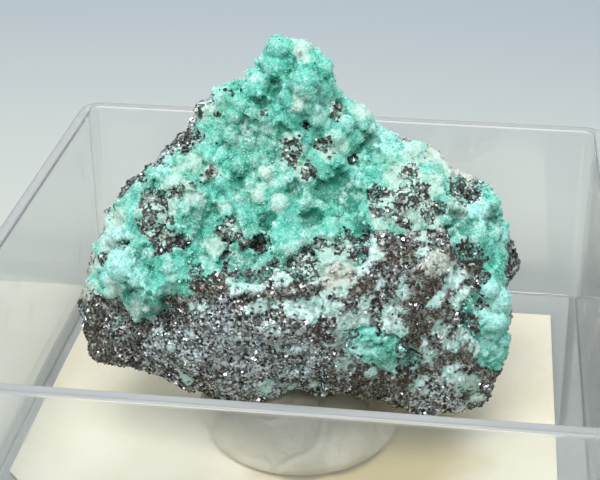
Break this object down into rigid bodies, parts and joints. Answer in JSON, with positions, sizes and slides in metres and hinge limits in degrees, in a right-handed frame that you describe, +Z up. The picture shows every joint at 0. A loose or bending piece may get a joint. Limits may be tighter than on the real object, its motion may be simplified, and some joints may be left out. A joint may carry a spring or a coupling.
{
  "type": "geminite specimen",
  "caption": "Mint-green botryoidal crust on a broken block of dark ore sandstone, held on a mound of putty in an open clear box with a bare paper label.",
  "frame": {"origin": "middle of the underside of the box, on the surface that it stands on", "axes": "+Z up, +X to the right and +Y to the back of the box, seen from the side that shows the crust"},
  "size_m": [0.056, 0.056, 0.0396],
  "materials": {
    "ore_sandstone": "matte",
    "geminite": "matte",
    "putty": "matte",
    "paper": "matte",
    "clear_plastic": "polished"
  },
  "bodies": {
    "root": {"stone": "ore_sandstone", "geminite_crust": "geminite", "lower_crust": "geminite", "putty": "putty", "label": "paper", "clear_box": "clear_plastic"}
  },
  "joints": []
}
